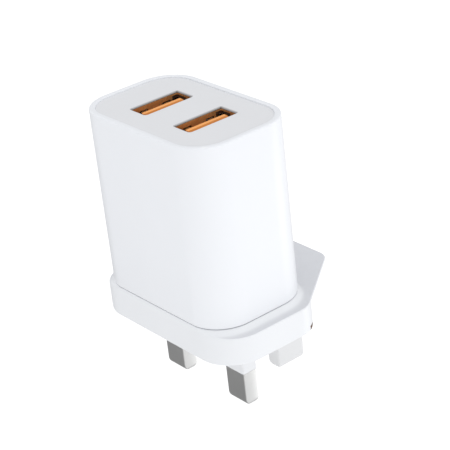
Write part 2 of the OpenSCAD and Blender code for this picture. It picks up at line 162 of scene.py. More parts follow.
def box(low, high):
    """A box between two corners."""
    bm = bmesh.new()
    bmesh.ops.create_cube(bm, size=1.0)
    low, high = Vector(low), Vector(high)
    bmesh.ops.scale(bm, vec=high - low, verts=bm.verts)
    bmesh.ops.translate(bm, vec=(low + high) / 2, verts=bm.verts)
    return bm


def soften(bm, edges, radius, segments=3):
    """Rounds some edges."""
    bmesh.ops.bevel(
        bm, geom=list(edges), offset=radius, offset_type="OFFSET", segments=segments,
        profile=0.5, affect="EDGES", material=-1, clamp_overlap=True,
    )


def slab(w, d, r, z0, z1, x=0.0, y=0.0, segments=10):
    """An upright block with round corners."""
    bm = box((x - w / 2, y - d / 2, z0), (x + w / 2, y + d / 2, z1))
    spans = [(e, e.verts[0].co - e.verts[1].co) for e in bm.edges]
    soften(bm, [e for e, v in spans if abs(v.z) > 0.01 and v.xy.length < 0.001], r, segments)
    return bm


def cap(bm, top=True):
    """The flat face at a shape's top or bottom, and the largest of them if there are several."""
    flat = [f for f in bm.faces if abs(f.normal.z) > 0.99]
    way = 1 if top else -1
    return max(flat, key=lambda f: (way * round(f.calc_center_median().z, 4), f.calc_area()))


def drop(bm, *faces):
    """Takes faces away and leaves their edges."""
    bmesh.ops.delete(bm, geom=list(faces), context="FACES_ONLY")


def drop_wires(bm):
    """Takes away the edges that no face holds."""
    bmesh.ops.delete(bm, geom=[e for e in bm.edges if not e.link_faces], context="EDGES")


def step_in(bm, face, inset=0.0, rise=0.0, stretch=None, about=(0.0, 0.0, 0.0)):
    """Carries a face on by a step: in from its edge, along Z, or to another size about a point."""
    if inset > 0:
        bmesh.ops.inset_region(
            bm, faces=[face], thickness=inset, depth=0.0, use_even_offset=True, use_boundary=True,
        )
    else:
        made = bmesh.ops.extrude_face_region(bm, geom=[face])["geom"]
        if face.is_valid:
            drop(bm, face)
        face = next(g for g in made if isinstance(g, bmesh.types.BMFace))
    if rise:
        bmesh.ops.translate(bm, vec=(0.0, 0.0, rise), verts=face.verts)
    if stretch:
        centre = Matrix.Translation(-Vector(about))
        bmesh.ops.scale(bm, vec=(*stretch, 1.0), verts=face.verts, space=centre)
    return face


def bridge_ends(bm, top, bottom):
    """Opens a shape at two faces and joins the openings with a wall."""
    ends = list(top.edges) + list(bottom.edges)
    drop(bm, top, bottom)
    bmesh.ops.bridge_loops(bm, edges=ends)


def cut(bm, axis, place, faces=None):
    """Cuts a shape, or some of its faces, on a plane across one axis."""
    normal, spot = Vector(), Vector()
    normal[axis], spot[axis] = 1.0, place
    if faces is None:
        geom = [*bm.verts, *bm.edges, *bm.faces]
    else:
        corners = dict.fromkeys(v for f in faces for v in f.verts)
        geom = [*corners, *dict.fromkeys(e for f in faces for e in f.edges), *faces]
    bmesh.ops.bisect_plane(bm, geom=geom, dist=1e-5, plane_co=spot, plane_no=normal)


def join(bm, part):
    """Adds one shape to another."""
    loose = bpy.data.meshes.new("loose")
    part.to_mesh(loose)
    part.free()
    bm.from_mesh(loose)
    bpy.data.meshes.remove(loose)


def open_edges(bm, z, tolerance):
    """The open edges at one height."""
    return [e for e in bm.edges
            if e.is_boundary and all(abs(v.co.z - z) < tolerance for v in e.verts)]


def fill_flat(bm, z):
    """Closes the open loops at one height with a flat face that keeps their holes."""
    bmesh.ops.triangle_fill(
        bm, use_beauty=True, use_dissolve=False, edges=open_edges(bm, z, 0.002),
        normal=(0.0, 0.0, 1.0),
    )


def settle(bm, name, look, node, sharp=35.0, outwards=True, flats=False):
    """Turns a shape into a finished piece in metres. With flats, level faces keep a sharp edge."""
    bmesh.ops.remove_doubles(bm, verts=bm.verts, dist=0.0004)
    if outwards:
        bmesh.ops.recalc_face_normals(bm, faces=bm.faces)
    bmesh.ops.scale(bm, vec=(MM, MM, MM), verts=bm.verts)
    for face in bm.faces:
        face.smooth = True
    limit = math.radians(sharp)
    for edge in bm.edges:
        ends_flat = flats and len({abs(f.normal.z) > 0.9999 for f in edge.link_faces}) == 2
        bent = edge.is_manifold and edge.calc_face_angle(0.0) > limit
        edge.smooth = not (ends_flat or bent)
    mesh = bpy.data.meshes.new(name)
    bm.to_mesh(mesh)
    bm.free()
    piece = bpy.data.objects.new(name, mesh)
    bpy.context.scene.collection.objects.link(piece)
    mesh.materials.append(finish(look))
    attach(piece, "root")
    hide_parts(node)
    return piece


# ---------------------------------------------------------------- finishes

def put(tree, socket, value):
    """Links another node's output to an input, or sets the input's own value."""
    if isinstance(value, bpy.types.NodeSocket):
        tree.links.new(value, socket)
    else:
        socket.default_value = value


def add(tree, kind, **settings):
    """Adds a node. A setting with a leading underscore is an input: its value or what feeds it."""
    node = tree.nodes.new("ShaderNode" + kind)
    for key, value in settings.items():
        if key.startswith("_"):
            put(tree, node.inputs[key[1:].replace("_", " ")], value)
        else:
            setattr(node, key, value)
    return node


def maths(tree, operation, a, b=0.0):
    """One sum on two values, or on one."""
    node = add(tree, "Math", operation=operation)
    put(tree, node.inputs[0], a)
    put(tree, node.inputs[1], b)
    return node.outputs[0]


def on_place(tree, operation, by):
    """Object coordinates multiplied by a vector, or their distance along it."""
    place = add(tree, "TexCoord").outputs["Object"]
    node = add(tree, "VectorMath", operation=operation, _Vector=place)
    put(tree, node.inputs[1], by)
    return node.outputs["Value" if operation == "DOT_PRODUCT" else "Vector"]


def noise(tree, scale, detail, rough=0.5):
    """A noise on Object coordinates, at a scale or already stretched."""
    if scale.type == "VALUE":
        place = add(tree, "TexCoord").outputs["Object"]
        sized = add(tree, "VectorMath", operation="SCALE", _Vector=place, _Scale=scale)
        scale = sized.outputs["Vector"]
    return add(
        tree, "TexNoise", _Vector=scale, _Scale=1.0, _Detail=detail, _Roughness=rough,
    ).outputs["Fac"]


def spread(tree, value, low, high, start=0.0, end=1.0, shape="LINEAR"):
    """Carries a value from one range to another, and no further."""
    return add(
        tree, "MapRange", interpolation_type=shape, _Value=value, _From_Min=low,
        _From_Max=high, _To_Min=start, _To_Max=end,
    ).outputs["Result"]


def cover(tree, under, over, mask):
    """One colour over another, by a mask."""
    a, b = (c if isinstance(c, bpy.types.NodeSocket) else (*c, 1.0) for c in (under, over))
    mix = add(tree, "Mix", data_type="RGBA", _Factor=mask, _A=a, _B=b)
    return mix.outputs["Result"]


def group(name, inputs, outputs):
    """A new shader node group, with its inputs' defaults and its outputs' names."""
    tree = bpy.data.node_groups.new(name, "ShaderNodeTree")
    for label, value in inputs.items():
        kind = "NodeSocketVector" if isinstance(value, tuple) else "NodeSocketFloat"
        socket = tree.interface.new_socket(name=label, in_out="INPUT", socket_type=kind)
        socket.default_value = value
    for label in outputs:
        tree.interface.new_socket(name=label, in_out="OUTPUT", socket_type="NodeSocketFloat")
    given, wanted = tree.nodes.new("NodeGroupInput"), tree.nodes.new("NodeGroupOutput")
    return tree, given.outputs, wanted.inputs


def grain_group():
    """Fine moulding or casting grain: a height, and a slow mottle for colour and gloss."""
    inputs = {"Fine": 9000.0, "Slow": 160.0, "Roughen": 0.55}
    tree, given, wanted = group("grain", inputs, ("Height", "Mottle"))
    put(tree, wanted["Height"], noise(tree, given["Fine"], 3.0, given["Roughen"]))
    put(tree, wanted["Mottle"], noise(tree, given["Slow"], 4.0))


def wear_group():
    """A mask that is light on worn outer edges, broken up by a noise."""
    inputs = {"From": 0.52, "To": 0.62, "Break up": 700.0}
    tree, given, wanted = group("edge wear", inputs, ("Mask",))
    point = add(tree, "NewGeometry").outputs["Pointiness"]
    edges = spread(tree, point, given["From"], given["To"])
    patches = noise(tree, given["Break up"], 2.0)
    put(tree, wanted["Mask"], maths(tree, "MULTIPLY", edges, patches))


def dust_group():
    """Painted shade on faces that point up, most where they point straight up: a mask, broken up by
    a noise.
    """
    inputs = {"From": 0.80, "To": 0.985, "Spread": 320.0}
    tree, given, wanted = group("dust", inputs, ("Mask",))
    normal = add(tree, "TexCoord").outputs["Normal"]
    upwards = add(tree, "SeparateXYZ", _Vector=normal).outputs["Z"]
    level = spread(tree, upwards, given["From"], given["To"], shape="SMOOTHSTEP")
    patches = spread(tree, noise(tree, given["Spread"], 3.0), 0.3, 0.7, 0.88, 1.0)
    put(tree, wanted["Mask"], maths(tree, "MULTIPLY", level, patches))


def strokes_group():
    """Long fine strokes along one axis, as on drawn or brushed metal."""
    tree, given, wanted = group("strokes", {"Stretch": (9000.0, 9000.0, 300.0)}, ("Height",))
    put(tree, wanted["Height"], noise(tree, on_place(tree, "MULTIPLY", given["Stretch"]), 2.0, 0.6))


def turns_group():
    """Turns of wire or tape side by side: a height, and a mask of the gaps between them."""
    tree, given, wanted = group("turns", {"Across": (0.0, 0.0, 3000.0)}, ("Height", "Gap"))
    wave = maths(tree, "SINE", on_place(tree, "DOT_PRODUCT", given["Across"]))
    height = maths(tree, "ABSOLUTE", wave)
    put(tree, wanted["Height"], height)
    put(tree, wanted["Gap"], spread(tree, height, 0.0, 0.35, 1.0, 0.0))


def placed(tree, name, **inputs):
    """The outputs of a node group placed in a material with its own values."""
    return add(
        tree, "Group", node_tree=bpy.data.node_groups[name], **inputs,
    ).outputs


def make_finish(
    name, colour, shade=0.93, rough=(0.35, 0.45), fine=9000.0, slow=160.0, bump=0.05, metal=0.0,
    coat=0.0, specular=0.5, edge=None, edge_from=0.52, edge_to=0.62, strokes=None, turns=None,
    turn_depth=0.0, rubbed=None, dust=None,
):
    """A finish with grain, slow mottling of colour and gloss and worn edges and, where asked,
    with strokes, turns, painted shade on upward faces and painted shade round the slot lips."""
    if isinstance(colour, str):
        colour = tuple(getattr(bpy.context.scene.charger_colours, colour))
    material = bpy.data.materials.new(name)
    material.use_nodes = True
    tree = material.node_tree
    shader = tree.nodes["Principled BSDF"].inputs
    shader["Metallic"].default_value = metal
    shader["Coat Weight"].default_value = coat
    shader["Specular IOR Level"].default_value = specular
    grain = placed(tree, "grain", _Fine=fine, _Slow=slow)
    wear = placed(tree, "edge wear", _From=edge_from, _To=edge_to)["Mask"]
    dark, light = [c * shade for c in colour], [min(c / shade, 1.0) for c in colour]
    surface = cover(tree, dark, light, grain["Mottle"])
    surface = cover(tree, surface, edge or [min(c * 1.12 + 0.02, 1.0) for c in colour], wear)
    height = grain["Height"]
    if strokes:
        height = maths(tree, "ADD", height, placed(tree, "strokes", _Stretch=strokes)["Height"])
    # Painted shade: faces that point up take a greyer colour.
    if dust:
        surface = cover(tree, surface, dust, placed(tree, "dust")["Mask"])
    # Painted shade: the slot lips darken towards each opening.
    if rubbed:
        shade_depth = add(tree, "Attribute", attribute_name="rubbed").outputs["Fac"]
        surface = cover(tree, surface, rubbed, maths(tree, "POWER", shade_depth, 1.3))
    if turns:
        rings = placed(tree, "turns", _Across=turns)
        surface = cover(tree, surface, [c * 0.35 for c in colour], rings["Gap"])
        raised = maths(tree, "MULTIPLY", rings["Height"], turn_depth)
        height = maths(tree, "ADD", height, raised)
    gloss = spread(tree, grain["Mottle"], 0.3, 0.7, *rough)
    relief = add(tree, "Bump", _Strength=bump, _Distance=0.0001, _Height=height)
    put(tree, shader["Base Color"], surface)
    put(tree, shader["Roughness"], maths(tree, "ADD", gloss, maths(tree, "MULTIPLY", wear, 0.12)))
    put(tree, shader["Normal"], relief.outputs["Normal"])
    return material


# What sets each finish apart. A colour given by name comes from the settings.
FINISHES = {
    "housing white": dict(
        colour="housing", shade=0.994, rough=(0.285, 0.33), fine=3200.0, bump=0.012,
        specular=0.45, edge=(0.95, 0.96, 0.975), edge_from=0.56, edge_to=0.7),
    # The base's upward faces, its flange and wing, take a painted shade in a greyer white.
    "base white": dict(
        colour="base", shade=0.992, rough=(0.31, 0.37), fine=3200.0, bump=0.018,
        specular=0.45, edge_from=0.56, edge_to=0.7, dust=(0.69, 0.70, 0.73)),
    # The panel's slot lips take a painted shade, near black, fading out from each opening.
    "panel grey": dict(
        colour="panel", shade=0.988, rough=(0.43, 0.51), fine=4200.0, bump=0.03,
        specular=0.35, edge_from=0.72, edge_to=0.9, rubbed=(0.12, 0.11, 0.10)),
    # A near-black brown painted as the shade in the recess under the panel.
    "recess shade": dict(
        colour=(0.085, 0.045, 0.025), shade=0.85, rough=(0.5, 0.65), bump=0.06, specular=0.2),
    "pin nickel": dict(
        colour="pin", shade=0.97, rough=(0.285, 0.34), fine=5000.0, bump=0.025, metal=1.0,
        strokes=(7000.0, 7000.0, 250.0), edge=(0.88, 0.87, 0.84)),
    "sleeve plastic": dict(
        colour="sleeve", shade=0.98, rough=(0.38, 0.48), bump=0.06, specular=0.4),
    "earth pin plastic": dict(
        colour="earth", shade=0.975, rough=(0.34, 0.46), bump=0.08, specular=0.4),
    "port bronze": dict(
        colour="shell", shade=0.92, rough=(0.34, 0.46), fine=12000.0, slow=500.0, bump=0.08,
        metal=0.6, strokes=(600.0, 16000.0, 16000.0), edge=(0.9, 0.5, 0.2)),
    "tongue orange": dict(
        colour="tongue", shade=0.94, rough=(0.4, 0.52), slow=600.0, bump=0.05, specular=0.2,
        edge=(0.85, 0.36, 0.09)),
    # A brighter copy of the tongue's orange: a painted highlight on its level top.
    "tongue top highlight": dict(
        colour=(0.93, 0.385, 0.10), shade=0.96, rough=(0.32, 0.42), slow=600.0, bump=0.03,
        specular=0.3),
    "latch bronze": dict(
        colour=(0.105, 0.045, 0.02), shade=0.85, rough=(0.4, 0.5), slow=900.0, bump=0.08,
        metal=0.2, edge=(0.55, 0.24, 0.07), edge_from=0.56, edge_to=0.75),
    "contact gold": dict(
        colour=(0.83, 0.56, 0.24), metal=1.0, rough=(0.22, 0.34), bump=0.05,
        strokes=(9000.0, 9000.0, 400.0), edge=(0.95, 0.75, 0.42)),
    "board green": dict(
        colour=(0.025, 0.16, 0.07), shade=0.82, rough=(0.3, 0.42), fine=5200.0, slow=420.0,
        bump=0.14, coat=0.25, edge=(0.42, 0.40, 0.22), edge_from=0.55),
    "clamp black": dict(
        colour=(0.035, 0.035, 0.038), shade=0.86, rough=(0.5, 0.62), bump=0.16,
        edge=(0.10, 0.10, 0.105)),
    "ferrite": dict(
        colour=(0.075, 0.073, 0.075), shade=0.8, rough=(0.46, 0.62), fine=14000.0, slow=700.0,
        bump=0.22, edge=(0.2, 0.195, 0.19)),
    "copper": dict(
        colour=(0.72, 0.27, 0.11), shade=0.88, metal=0.85, rough=(0.28, 0.4), bump=0.5,
        turns=(0.0, 0.0, 9000.0), turn_depth=1.6, edge=(0.95, 0.5, 0.3)),
    "yellow tape": dict(
        colour=(0.80, 0.56, 0.06), shade=0.92, rough=(0.25, 0.42), slow=380.0, bump=0.16,
        coat=0.3, turns=(0.0, 0.0, 1100.0), turn_depth=0.25),
    "tin": dict(
        colour=(0.70, 0.70, 0.71), shade=0.92, metal=1.0, rough=(0.28, 0.42), bump=0.1,
        slow=1200.0),
    "sleeve blue": dict(
        colour=(0.02, 0.03, 0.10), shade=0.85, rough=(0.26, 0.38), bump=0.07, slow=300.0,
        coat=0.2, edge=(0.10, 0.12, 0.24)),
    "can aluminium": dict(
        colour=(0.76, 0.77, 0.78), shade=0.95, metal=1.0, rough=(0.25, 0.36), bump=0.05,
        strokes=(8000.0, 8000.0, 300.0)),
    "resistor green": dict(
        colour=(0.12, 0.30, 0.16), shade=0.86, rough=(0.42, 0.56), bump=0.16, slow=800.0),
    "disc blue": dict(
        colour=(0.05, 0.16, 0.42), shade=0.88, rough=(0.32, 0.46), bump=0.18, slow=700.0,
        coat=0.15),
    "chip black": dict(
        colour=(0.022, 0.022, 0.024), shade=0.82, rough=(0.5, 0.66), fine=16000.0, bump=0.2,
        edge=(0.08, 0.08, 0.085)),
    "smd tan": dict(
        colour=(0.46, 0.34, 0.22), shade=0.84, rough=(0.42, 0.6), fine=15000.0, slow=2500.0,
        bump=0.15),
    "aluminium sheet": dict(
        colour=(0.74, 0.75, 0.77), shade=0.94, metal=1.0, rough=(0.28, 0.42), bump=0.09,
        strokes=(300.0, 9000.0, 9000.0)),
    "pad grey": dict(
        colour=(0.28, 0.32, 0.36), shade=0.88, rough=(0.68, 0.82), bump=0.3, slow=900.0),
    "sheet cream": dict(
        colour=(0.74, 0.70, 0.55), shade=0.95, rough=(0.5, 0.62), bump=0.12, slow=260.0,
        turns=(900.0, 0.0, 900.0), turn_depth=0.15),
}


def finish(name):
    """The material of that name, made when it is first asked for."""
    return bpy.data.materials.get(name) or make_finish(name, **FINISHES[name])


# ---------------------------------------------------------------- body

def housing_shell():
    """The upper body: a rounded sleeve with a rim, a ledge for the panel and a spigot below."""
    s = sizes("charger_body")
    spigot_in, spigot_wall, spigot_drop, shoulder = 2.3, 1.0, 2, 1
    bm = slab(s["width"], s["depth"], s["corner"], s["seam"], s["height"], y=BODY_Y, segments=22)
    top, bottom = cap(bm), cap(bm, top=False)
    rim_edges, foot_edges = list(top.edges), list(bottom.edges)
    top = step_in(bm, top, inset=s["rim"])
    lip_edges = list(top.edges)
    top = step_in(bm, top, rise=PANEL_FOOT - s["height"])
    top = step_in(bm, top, inset=s["wall"] - s["rim"])
    top = step_in(bm, top, rise=s["seam"] + shoulder - PANEL_FOOT)
    top = step_in(bm, top, inset=spigot_in + spigot_wall - s["wall"])
    top = step_in(bm, top, rise=-shoulder - spigot_drop)
    bottom = step_in(bm, bottom, inset=spigot_in)
    bottom = step_in(bm, bottom, rise=-spigot_drop)
    bridge_ends(bm, top, bottom)
    soften(bm, rim_edges, s["rim_round"], 4)
    soften(bm, lip_edges, 0.16, 2)
    soften(bm, foot_edges, 0.12, 2)
    # On each side, two rails hold the main board and two shelves the port board.
    inner = s["width"] / 2 - s["wall"]
    holders = [((y, y + 1), (11, 30)) for y in (-20.6, -17.6)]
    holders += [((BODY_Y + y - 1.5, BODY_Y + y + 1.5), (28.6, 31.6)) for y in (-3.5, 3.5)]
    for side in (-1, 1):
        x = sorted((side * (inner - 1.7), side * (inner + 0.3)))
        for y, z in holders:
            holder = box((x[0], y[0], z[0]), (x[1], y[1], z[1]))
            soften(holder, holder.edges, 0.2, 2)
            join(bm, holder)
    return settle(bm, "body_shell", "housing white", "upper_housing")


def panel_slot(x, width, depth, lip):
    """The wall of a slot in the panel: a rolled lip, a ledge under it and a wider way down."""
    slot = slab(
        width + 2 * lip, depth + 2 * lip, 1.1, PANEL_TOP, PANEL_TOP + 1, x=x, y=BODY_Y, segments=8)
    face = cap(slot, top=False)
    drop(slot, *[f for f in slot.faces if f is not face])
    drop_wires(slot)
    steps, across, down = 6, 0.0, 0.0
    for n in range(1, steps + 1):
        turn = math.pi / 2 * n / steps
        a, b = lip * math.sin(turn), min(lip * (1 - math.cos(turn)), 0.28)
        if n == steps:
            b = PANEL_TOP - LIP_FOOT
        face = step_in(slot, face, inset=max(a - across, 0.0005), rise=down - b)
        across, down = a, b
    wider = ((width + 0.7) / width, (depth + 0.7) / depth)
    face = step_in(slot, face, stretch=wider, about=(x, BODY_Y, 0))
    face = step_in(slot, face, rise=PANEL_FOOT - LIP_FOOT)
    drop(slot, face)
    return slot


def panel_plate():
    """The sunk plate with two slots, whose edges are rolled in over the metal shells."""
    s, p = sizes("charger_body"), sizes("charger_ports")
    w, d = s["width"] - 2 * s["rim"] - 0.03, s["depth"] - 2 * s["rim"] - 0.03
    r = s["corner"] - s["rim"] - 0.05
    bm = slab(w, d, r, PANEL_FOOT, PANEL_TOP - 0.2, y=BODY_Y, segments=14)
    top, bottom = cap(bm), cap(bm, top=False)
    for inset, rise in ((0.01, 0.15), (0.02, 0.035), (0.05, 0.015)):
        top = step_in(bm, top, inset=inset, rise=rise)
    drop(bm, top, bottom)
    for side in (-1, 1):
        join(bm, panel_slot(side * p["pitch"] / 2, p["width"], p["length"], p["lip"]))
    bmesh.ops.remove_doubles(bm, verts=bm.verts, dist=0.0004)
    fill_flat(bm, PANEL_TOP)
    fill_flat(bm, PANEL_FOOT)
    plate = settle(
        bm, "port_plate", "panel grey", "port_panel", flats=True)
    # Painted shade darkens the lips towards each opening, and it must stay off the flat top, whose
    # triangles are long.
    rubbed = plate.data.attributes.new("rubbed", "FLOAT", "POINT")
    for n, vert in enumerate(plate.data.vertices):
        x, y, z = (c / MM for c in vert.co)
        off_x = abs(abs(x) - p["pitch"] / 2) - p["width"] / 2
        off_y = abs(y - BODY_Y) - p["length"] / 2
        on_lip = LIP_FOOT - 0.02 < z < PANEL_TOP - 0.005
        shade_depth = min(max(1.0 - max(off_x, off_y) / p["lip"], 0.0), 1.0)
        rubbed.data[n].value = shade_depth if on_lip else 0.0
    # The walls under the lips and the plate's underside get a painted shade, a near-black brown,
    # for the dark of the recess.
    plate.data.materials.append(finish("recess shade"))
    for face in plate.data.polygons:
        if face.center.z / MM < LIP_FOOT - 0.01 and abs(face.center.x / MM) < 16:
            face.material_index = 1
    return plate


# ---------------------------------------------------------------- base

def body_stations(half_w, half_d, r, cuts):
    """Points round the body's outline with their outward directions, closer together where the
    base's wing and its latch are."""
    wing = [7 + 0.35 * n for n in range(13)]
    across = sorted({0.0, 2.5, 5.0, *wing, *[-x for x in wing], -2.5, -5.0})
    turns = sorted({*range(0, 91, 3), *cuts})
    x, y = half_w - r, half_d - r
    back, front = BODY_Y + y, BODY_Y - y
    rows = [((x, front + f * 2 * y), 0.0) for f in (0.25, 0.5, 0.75)]
    rows += [((x, back), a) for a in turns]
    rows += [((along, back), 90.0) for along in reversed(across) if abs(along) < x]
    rows += [((-x, back), 180.0 - a) for a in reversed(turns)]
    rows += [((-x, front + f * 2 * y), 180.0) for f in (0.75, 0.5, 0.25)]
    rows += [((-x, front), 180.0 + a) for a in range(0, 91, 4)]
    rows += [((f * x, front), 270.0) for f in (-0.6, -0.2, 0.2, 0.6)]
    rows += [((x, front), 270.0 + a) for a in range(2, 91, 4)]
    found = []
    for centre, a in rows:
        out = Vector((math.cos(math.radians(a)), math.sin(math.radians(a))))
        found.append((Vector(centre) + r * out, out))
    return found


class BaseOutline:
    """The base's outline at any height: a block with round corners, and a wing that leans in
    towards the plug's face. It is the same on both sides, so only the positive X half is kept."""

    def __init__(self, s):
        self.s = s
        self.half = s["width"] / 2
        self.block = Vector((self.half - s["back_corner"], BASE_BACK - s["back_corner"]))
        self.front = Vector((self.half - s["front_corner"], BASE_FRONT + s["front_corner"]))
        self.wing = Vector((7.4, s["wing_back"] - s["wing_corner"]))
        # The wing's side is the line that touches the circles of both corners.
        step = self.block - self.wing
        turn = math.acos((s["wing_corner"] - s["back_corner"]) / step.length)
        turn += math.atan2(step.y, step.x)
        self.slant = Vector((math.cos(turn), math.sin(turn)))
        self.side = self.slant.dot(self.block) + s["back_corner"]

    def in_block(self, x, y):
        """Whether a point is inside the block."""
        if y > BASE_BACK:
            return False
        inside = True
        if x > self.front.x and y < self.front.y:
            off = (x - self.front.x) ** 2 + (y - self.front.y) ** 2
            inside = off <= self.s["front_corner"] ** 2
        if x > self.block.x and y > self.block.y:
            off = (x - self.block.x) ** 2 + (y - self.block.y) ** 2
            inside = off <= self.s["back_corner"] ** 2
        return inside

    def in_wing(self, x, y, z):
        """Whether a point is inside the wing."""
        s = self.s
        near, far = Vector((self.block.x, -8.0)), self.block + s["back_corner"] * self.slant
        beside = (x - near.x) * (far.y - near.y) > (y - near.y) * (far.x - near.x)
        if y < near.y or (y < far.y and beside):
            return False
        lean = max(0.0, s["flange"] - 0.25 - z)
        if self.slant.dot((x, y)) > self.side - lean * math.tan(math.radians(30)):
            return False
        if y > s["wing_back"] - lean * math.tan(math.radians(15)):
            return False
        off = Vector((x, y)) - self.wing
        past_side = math.atan2(off.y, off.x) > math.atan2(self.slant.y, self.slant.x)
        return not (off.x > 0 and off.y > 0 and off.length > s["wing_corner"] and past_side)

    def holds(self, p, z):
        """Whether a point is inside the outline."""
        x, y = abs(p.x), p.y
        if x > self.half or y < BASE_FRONT:
            return False
        return self.in_block(x, y) or self.in_wing(x, y, z)

    def reach(self, start, out, z):
        """How far the outline lies from a point on the body, going straight out."""
        low = 0.0
        while self.holds(start + out * (low + 0.2), z):
            low += 0.2
        high = low + 0.2
        for _ in range(16):
            middle = (low + high) / 2
            if self.holds(start + out * middle, z):
                low = middle
            else:
                high = middle
        return low if low > 0.012 else 0.0


def curve(start, corner, end, f):
    """A point on the round-over from one point to another, past a corner."""
    return tuple(
        start[k] * (1 - f) ** 2 + 2 * corner[k] * f * (1 - f) + end[k] * f * f for k in (0, 1))


def base_loops(s, stations):
    """The base's skin as loops of steps out from the body and heights, from the collar that meets
    the body to the plug's face."""
    outline = BaseOutline(s)
    flange, big, reach, rounding = s["flange"], s["cove_radius"], s["cove_reach"], s["edge_round"]

    def cove(t):
        """The hollow curve's height, then the flange's."""
        return flange if t >= reach else flange + big - math.sqrt(big ** 2 - (reach - t) ** 2)

    collar = cove(0.0)

    def skin(t):
        """The top's height, under the collar's rounding."""
        return min(cove(t), collar - 0.09)

    def wall(start, out, z):
        """How far out the wall is; it steps in by 1 mm in the latch's slot."""
        turn = math.degrees(math.atan2(out.y, out.x))
        in_slot = z < 1.1 and LATCH_SIDES[0] < turn < LATCH_SIDES[1]
        return outline.reach(start, out, z) - (1.0 if in_slot else 0.0)

    rounds = ((-0.13, 0.0), (-0.09, 0.005), (-0.04, 0.03), (0.0, 0.09))
    loops = [[(t, collar - down)] * len(stations) for t, down in rounds]
    edge = [outline.reach(start, out, flange) for start, out in stations]
    for t in (0.08, 0.2, 0.35, 0.55, 0.8, 1.1, 1.45, 1.85, 2.3):
        outs = [min(t, max(far - rounding, 0.0)) for far in edge]
        loops.append([(far, skin(far)) for far in outs])
    for f in (0.0, 0.25, 0.5, 0.75, 1.0):
        rims = [(far, min(rounding, far)) for far in edge]
        loops.append([
            curve((far - r, skin(far - r)), (far, skin(far)), (far, skin(far) - r), f)
            for far, r in rims])
    for z in (6.0, 5.3, 4.6, 3.9, 3.2, 2.5, 1.8, 1.12, 1.08, 0.7, 0.35):
        loops.append([(wall(start, out, z), z) for start, out in stations])
    for f in (0.3, 0.65, 1.0):
        feet = [(wall(start, out, 0.35), wall(start, out, 0.0)) for start, out in stations]
        loops.append([curve((a, 0.35), (c, 0.0), (c - 0.35, 0.0), f) for a, c in feet])
    return collar, loops


def set_out(ring, stations, loop):
    """Puts a ring of corners at a loop's steps out and heights."""
    for vert, (start, out), (t, z) in zip(ring, stations, loop):
        vert.co = (*(start + out * t), z)


def carry(bm, ring, edges):
    """Extrudes an open ring and gives the new ring's corners in the same order."""
    made = bmesh.ops.extrude_edge_only(bm, edges=edges)["geom"]
    corners = {g for g in made if isinstance(g, bmesh.types.BMVert)}
    new_edges = [g for g in made if isinstance(g, bmesh.types.BMEdge)
                 and g.is_boundary and all(v in corners for v in g.verts)]
    fresh = {v for g in new_edges for v in g.verts}
    ordered = [next(e.other_vert(v) for e in v.link_edges if e.other_vert(v) in fresh)
               for v in ring]
    return ordered, new_edges


def base_shell():
    """The base: a collar and a hollow curve under the body, a flange and a wing, walls that lean
    in, a floor and pin holes."""
    b, s, p = sizes("charger_body"), sizes("charger_base"), sizes("charger_pins")
    cuts = [side + off for side in LATCH_SIDES for off in (-0.05, 0.05)]
    stations = body_stations(b["width"] / 2, b["depth"] / 2, b["corner"], cuts)
    collar, loops = base_loops(s, stations)
    wall = -2.2

    bm = bmesh.new()
    bmesh.ops.create_circle(bm, segments=len(stations), radius=1.0)
    ring = sorted(bm.verts, key=lambda v: math.atan2(v.co.y, v.co.x) % (2 * math.pi))
    set_out(ring, stations, [(wall, collar)] * len(stations))
    outer, edges = ring, list(bm.edges)
    for loop in loops:
        outer, edges = carry(bm, outer, edges)
        set_out(outer, stations, loop)
    inner, edges = carry(bm, ring, open_edges(bm, collar, 1e-4))
    set_out(inner, stations, [(wall, BASE_FLOOR)] * len(stations))

    half, slack = p["spacing"] / 2, 0.06
    w, d, long = p["width"] + slack, p["thickness"] + slack, p["earth_width"] + slack
    holes = [(-half, -half, w, d, BASE_FLOOR), (half, -half, w, d, BASE_FLOOR)]
    holes.append((0.0, half, d, long, 5.0))
    for x, y, w, d, height in holes:
        hole = slab(w, d, 0.43, 0.0, height, x=x, y=y, segments=4)
        # The earth pin's hole keeps its top, as a socket does.
        through = [cap(hole)] if height == BASE_FLOOR else []
        drop(hole, cap(hole, top=False), *through)
        join(bm, hole)
    bmesh.ops.remove_doubles(bm, verts=bm.verts, dist=0.0008)
    bmesh.ops.dissolve_degenerate(bm, dist=0.0008, edges=bm.edges)
    fill_flat(bm, 0.0)
    fill_flat(bm, BASE_FLOOR)
    return settle(
        bm, "base_shell", "base white", "base_housing", sharp=32.0,
        flats=True)


def latch():
    """The snap latch: a small bar whose face follows the corner of the base."""
    s = sizes("charger_base")
    radius = s["back_corner"]
    bm = box((radius - 1.15, -1.25, 0.03), (radius - 0.05, 1.25, 1.03))
    soften(bm, bm.edges, 0.1, 3)
    for n in range(-5, 6):
        cut(bm, 1, n * 0.2)
    for vert in bm.verts:
        if vert.co.x > radius - 0.5:
            vert.co.x -= radius - math.sqrt(radius ** 2 - vert.co.y ** 2)
    turn = Matrix.Rotation(math.radians(LATCH_TURN), 3, "Z")
    bmesh.ops.rotate(bm, cent=(0, 0, 0), matrix=turn, verts=bm.verts)
    corner = (s["width"] / 2 - radius, BASE_BACK - radius, 0)
    bmesh.ops.translate(bm, vec=corner, verts=bm.verts)
    return settle(bm, "latch", "latch bronze", "latch_tab")


# ---------------------------------------------------------------- pins

